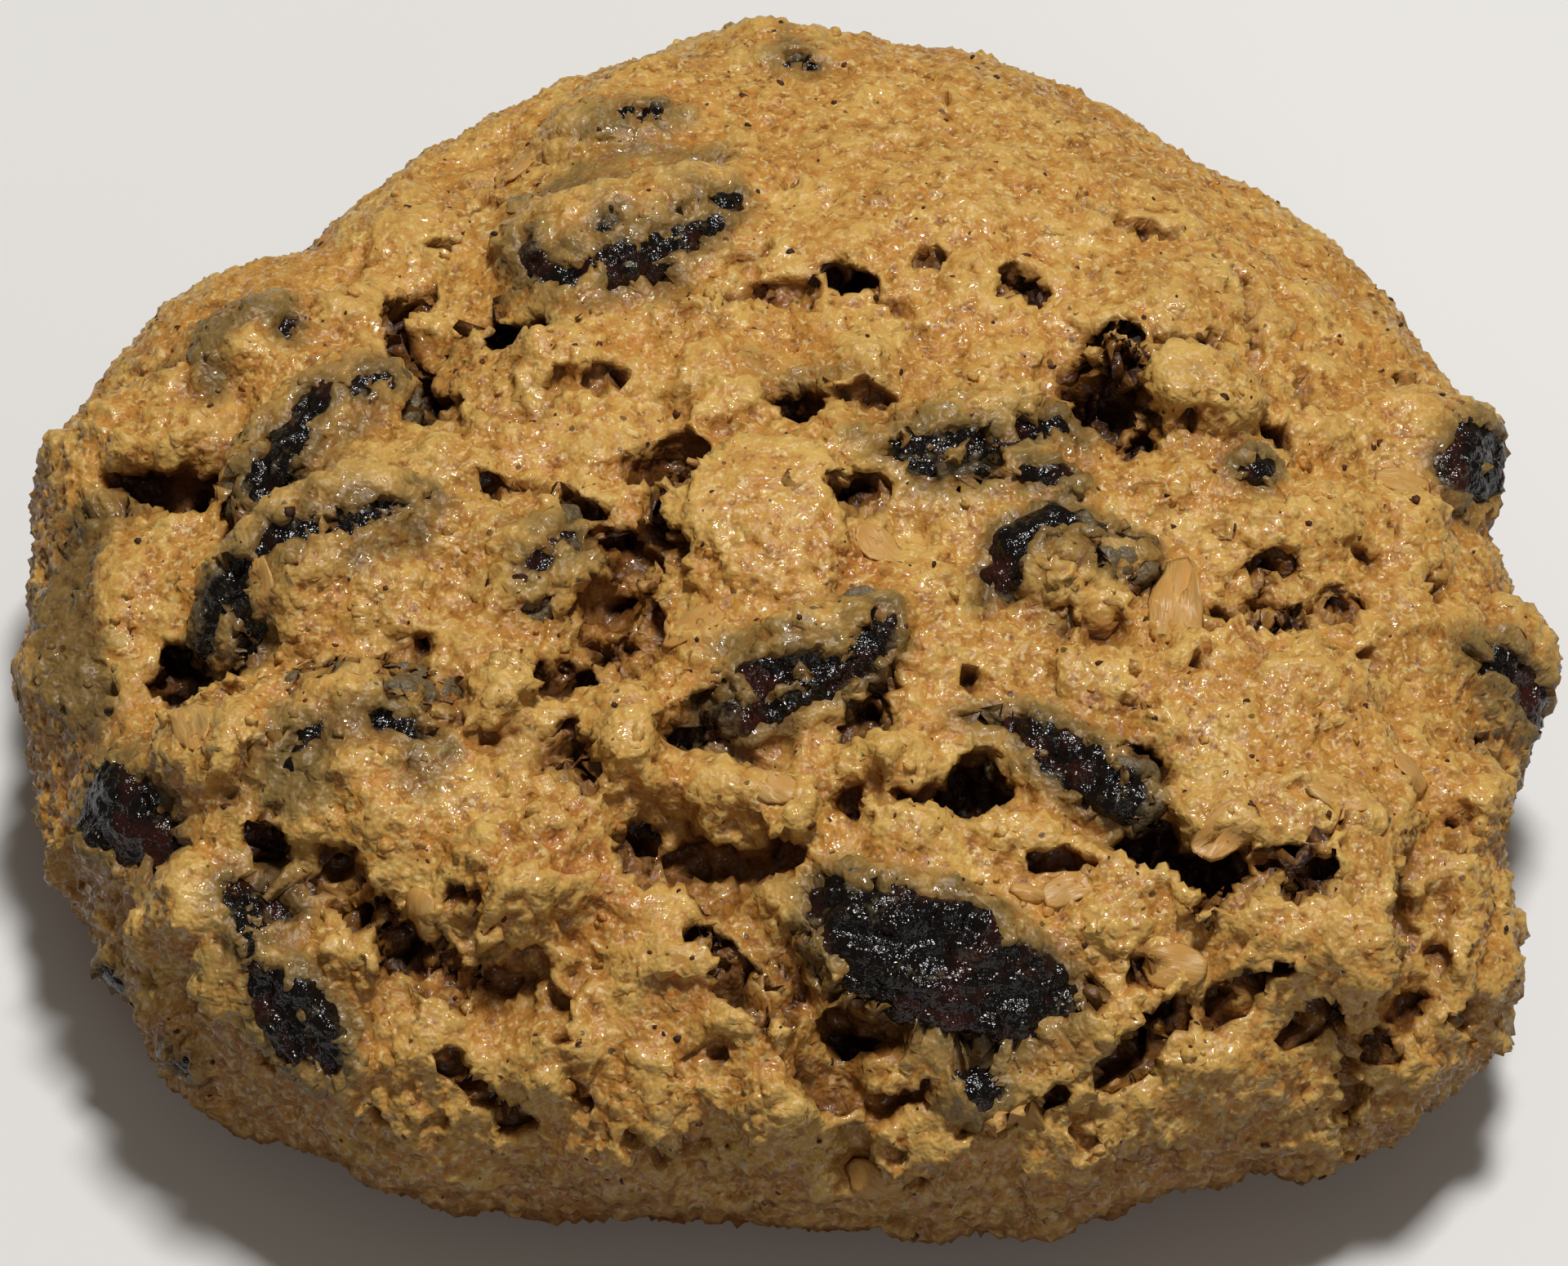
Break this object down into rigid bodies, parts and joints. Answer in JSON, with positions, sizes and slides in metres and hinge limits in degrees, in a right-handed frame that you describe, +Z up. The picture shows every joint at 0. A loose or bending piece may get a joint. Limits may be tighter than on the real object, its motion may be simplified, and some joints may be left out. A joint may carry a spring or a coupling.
{
  "type": "oatmeal raisin cookie",
  "caption": "Thick round oatmeal cookie with a rough, cracked golden crust and dark raisins set into it, on a flat base.",
  "frame": {"origin": "middle of the flat base, below the middle of the bounding box", "axes": "+X along the widest way across, +Y towards the back bulge, +Z up out of the crust"},
  "size_m": [0.0774, 0.0764, 0.0241],
  "materials": {
    "dough": "matte baked crumb, golden tan",
    "raisin": "glossy wrinkled skin, near-black purple-brown"
  },
  "bodies": {
    "root": {"dough": "dough", "raisin_back_large": "raisin", "raisin_back_rim": "raisin", "raisin_back_small": "raisin", "raisin_centre_arch": "raisin", "raisin_centre_bar": "raisin", "raisin_centre_chip": "raisin", "raisin_centre_left": "raisin", "raisin_fissure": "raisin", "raisin_foot_chip": "raisin", "raisin_front_chip": "raisin", "raisin_front_large": "raisin", "raisin_front_left": "raisin", "raisin_left_arc": "raisin", "raisin_left_back": "raisin", "raisin_left_edge": "raisin", "raisin_left_low": "raisin", "raisin_left_pit": "raisin", "raisin_left_upper": "raisin", "raisin_low_left_chip": "raisin", "raisin_middle": "raisin", "raisin_right_edge": "raisin", "raisin_right_rim": "raisin", "raisin_right_speck": "raisin"}
  },
  "joints": []
}
